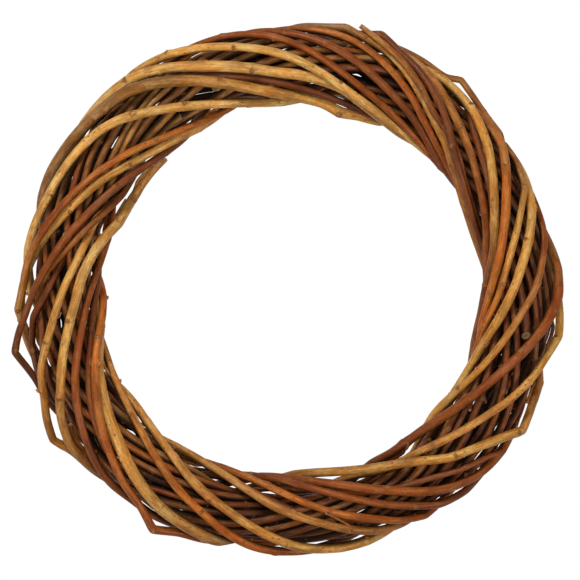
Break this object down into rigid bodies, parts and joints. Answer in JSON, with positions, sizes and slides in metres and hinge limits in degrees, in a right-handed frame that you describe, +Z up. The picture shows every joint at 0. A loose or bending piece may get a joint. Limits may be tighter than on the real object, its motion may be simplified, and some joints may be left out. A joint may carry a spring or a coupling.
{
  "type": "willow wreath",
  "caption": "Ring of long willow rods twisted round one another, bark left on, that holds itself together with no wire or base.",
  "frame": {"origin": "middle of the bounding box in plan, on the surface that the wreath lies on", "axes": "+Z up through the hole, out of the front; +Y towards the top of the wreath as the picture shows it"},
  "size_m": [0.3082, 0.2972, 0.0419],
  "materials": {
    "gold_bark": "satin golden willow bark",
    "olive_bark": "satin olive-gold willow bark",
    "orange_bark": "satin orange-brown willow bark",
    "brown_bark": "satin brown willow bark",
    "reddish_bark": "satin reddish-brown willow bark",
    "dark_bark": "dull dark brown willow bark",
    "grey_bark": "dull grey-brown older willow bark"
  },
  "bodies": {
    "root": {"willow_rod_01": "gold_bark", "willow_rod_02": "gold_bark", "willow_rod_03": "gold_bark", "willow_rod_04": "reddish_bark", "willow_rod_05": "orange_bark", "willow_rod_06": "gold_bark", "willow_rod_07": "gold_bark", "willow_rod_08": "grey_bark", "willow_rod_09": "orange_bark", "willow_rod_10": "olive_bark", "willow_rod_11": "orange_bark", "willow_rod_12": "reddish_bark", "willow_rod_13": "orange_bark", "willow_rod_14": "reddish_bark", "willow_rod_15": "dark_bark", "inner_rod_1": "brown_bark", "inner_rod_2": "olive_bark", "inner_rod_3": "orange_bark", "inner_rod_4": "dark_bark", "inner_rod_5": "brown_bark", "inner_rod_6": "reddish_bark", "inner_rod_7": "orange_bark", "inner_rod_8": "gold_bark", "core_rod_1": "dark_bark", "core_rod_2": "dark_bark"}
  },
  "joints": []
}
